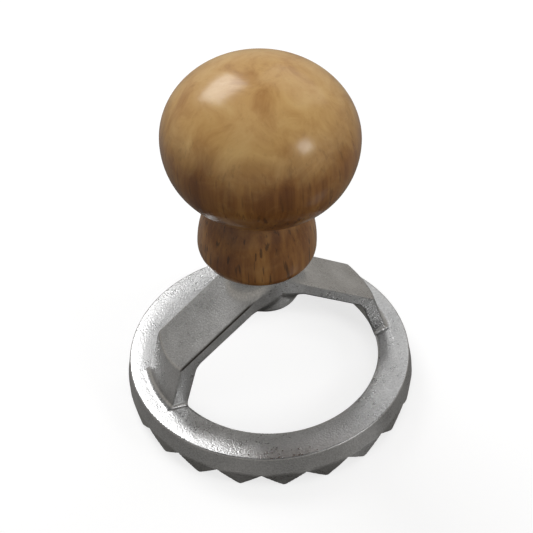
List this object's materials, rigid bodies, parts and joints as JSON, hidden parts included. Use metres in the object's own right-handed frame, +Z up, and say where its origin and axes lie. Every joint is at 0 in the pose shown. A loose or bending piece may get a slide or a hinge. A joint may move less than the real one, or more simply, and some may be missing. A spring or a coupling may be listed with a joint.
{
  "type": "ravioli stamp",
  "caption": "Round ravioli stamp: a toothed aluminium cutting ring with a peaked bridge and a boss, under a turned wooden knob.",
  "frame": {"origin": "middle of the circle on which the tooth tips stand, at the lowest point of the object", "axes": "+Z up along the ring's axis towards the knob, +X along the bridge from one leg to the other"},
  "size_m": [0.0698, 0.0698, 0.0906],
  "materials": {
    "cutter": "satin cast aluminium, lightly tumbled",
    "handle": "varnished hardwood, semi-gloss",
    "stud": "plain zinc-plated steel"
  },
  "bodies": {
    "root": {"cutter": "cutter", "handle": "handle", "stud": "stud"}
  },
  "joints": []
}
